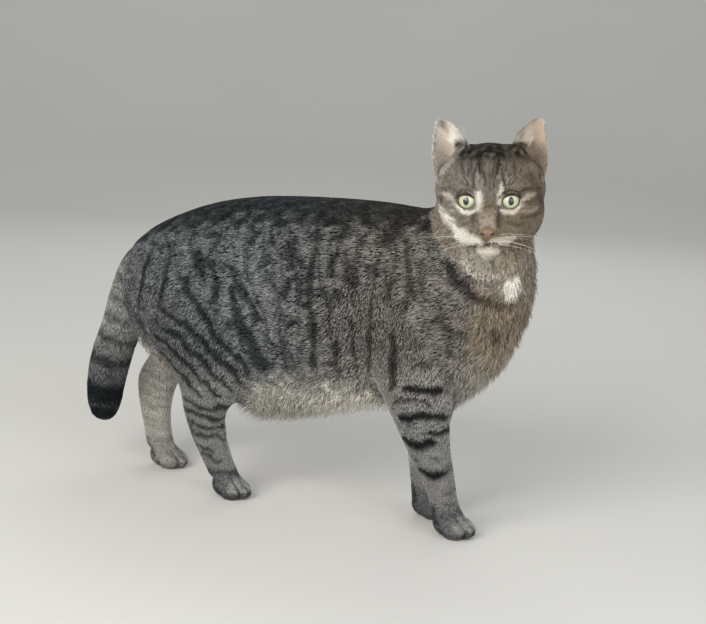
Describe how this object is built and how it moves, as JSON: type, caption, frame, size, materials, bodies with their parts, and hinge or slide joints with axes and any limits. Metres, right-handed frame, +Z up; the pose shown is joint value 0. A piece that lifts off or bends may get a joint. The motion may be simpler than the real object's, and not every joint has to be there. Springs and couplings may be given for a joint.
{
  "type": "european shorthair cat, still life-size model",
  "caption": "Life-size standing tabby shorthair cat with its head turned to its right, a still display model that rests on its four paws.",
  "frame": {"origin": "on the floor under the middle of the cat's bounding box", "axes": "+X the way the body faces, +Y the cat's left, +Z up"},
  "size_m": [0.475, 0.149, 0.3841],
  "materials": {
    "coat": "matte",
    "eye": "gloss"
  },
  "bodies": {
    "root": {"ear_left": "coat", "ear_right": "coat", "head": "coat", "leg_front_left": "coat", "leg_front_right": "coat", "leg_hind_left": "coat", "leg_hind_right": "coat", "neck": "coat", "paw_front_left": "coat", "paw_front_right": "coat", "paw_hind_left": "coat", "paw_hind_right": "coat", "tail_base": "coat", "tail_middle": "coat", "tail_tip": "coat", "torso": "coat", "eye_left": "eye", "eye_right": "eye"}
  },
  "joints": []
}
